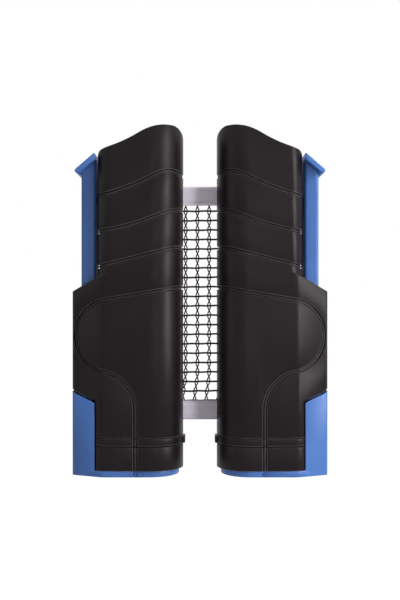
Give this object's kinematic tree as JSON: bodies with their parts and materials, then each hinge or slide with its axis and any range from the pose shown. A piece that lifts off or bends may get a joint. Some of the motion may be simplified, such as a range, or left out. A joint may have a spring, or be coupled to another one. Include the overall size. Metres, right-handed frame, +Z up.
{
  "type": "table tennis net clamp",
  "caption": "Two mirror-image hand-grip posts with spring clamps at the foot and a retractable net wound on rollers inside them.",
  "frame": {"origin": "on the floor, midway between the two posts", "axes": "+X along the net from the left post to the right, +Y from front to back, +Z up"},
  "size_m": [0.165, 0.04, 0.225],
  "materials": {
    "black_plastic": "satin, fine moulded grain",
    "blue_plastic": "satin moulded",
    "rubber": "matt",
    "steel": "drawn wire and rod",
    "nylon": "natural",
    "net_mesh": "knitted cord",
    "net_tape": "woven satin tape"
  },
  "bodies": {
    "left_post": {"left_front_shell": "black_plastic", "left_rear_shell": "black_plastic", "left_jaw_collar": "black_plastic", "left_upper_jaw_pad": "rubber", "left_clamp_spring": "steel", "left_roller_axle": "steel", "left_lower_bush": "nylon", "left_upper_bush": "nylon", "left_rewind_spring": "steel", "left_shell_screws": "steel", "net_mesh": "net_mesh", "net_top_tape": "net_tape", "net_bottom_tape": "net_tape"},
    "left_clamp": {"left_clamp_slider": "blue_plastic", "left_lower_jaw": "black_plastic", "left_lower_jaw_pad": "rubber"},
    "left_roller": {"left_net_roller": "nylon", "left_net_roll": "net_mesh"},
    "right_post": {"right_front_shell": "black_plastic", "right_rear_shell": "black_plastic", "right_jaw_collar": "black_plastic", "right_upper_jaw_pad": "rubber", "right_clamp_spring": "steel", "right_roller_axle": "steel", "right_lower_bush": "nylon", "right_upper_bush": "nylon", "right_rewind_spring": "steel", "right_shell_screws": "steel"},
    "right_clamp": {"right_clamp_slider": "blue_plastic", "right_lower_jaw": "black_plastic", "right_lower_jaw_pad": "rubber"},
    "right_roller": {"right_net_roller": "nylon", "right_net_roll": "net_mesh"}
  },
  "joints": [
    {"name": "net_pull", "type": "slide", "parent": "left_post", "child": "right_post", "axis": [1, 0, 0], "range_m": [0, 1.68], "stiffness_N_per_m": 2, "springref_m": -1, "deforming": ["net_mesh", "net_top_tape", "net_bottom_tape"]},
    {"name": "left_clamp_slide", "type": "slide", "parent": "left_post", "child": "left_clamp", "axis": [0, 0, 1], "range_m": [-0.045, 0], "stiffness_N_per_m": 500, "springref_m": 0.04, "deforming": ["left_clamp_spring"]},
    {"name": "right_clamp_slide", "type": "slide", "parent": "right_post", "child": "right_clamp", "axis": [0, 0, 1], "range_m": [-0.045, 0], "stiffness_N_per_m": 500, "springref_m": 0.04, "deforming": ["right_clamp_spring"]},
    {"name": "left_roller_turn", "type": "hinge", "parent": "left_post", "child": "left_roller", "pos_m": [-0.031, 0, 0.1], "axis": [0, 0, 1], "range_deg": [0, 5200]},
    {"name": "right_roller_turn", "type": "hinge", "parent": "right_post", "child": "right_roller", "pos_m": [0.031, 0, 0.1], "axis": [0, 0, 1], "range_deg": [-5200, 0]}
  ],
  "couplings": [
    {"joint": "left_roller_turn", "follows": "net_pull", "rad_per_m": 54},
    {"joint": "right_roller_turn", "follows": "net_pull", "rad_per_m": -54}
  ]
}
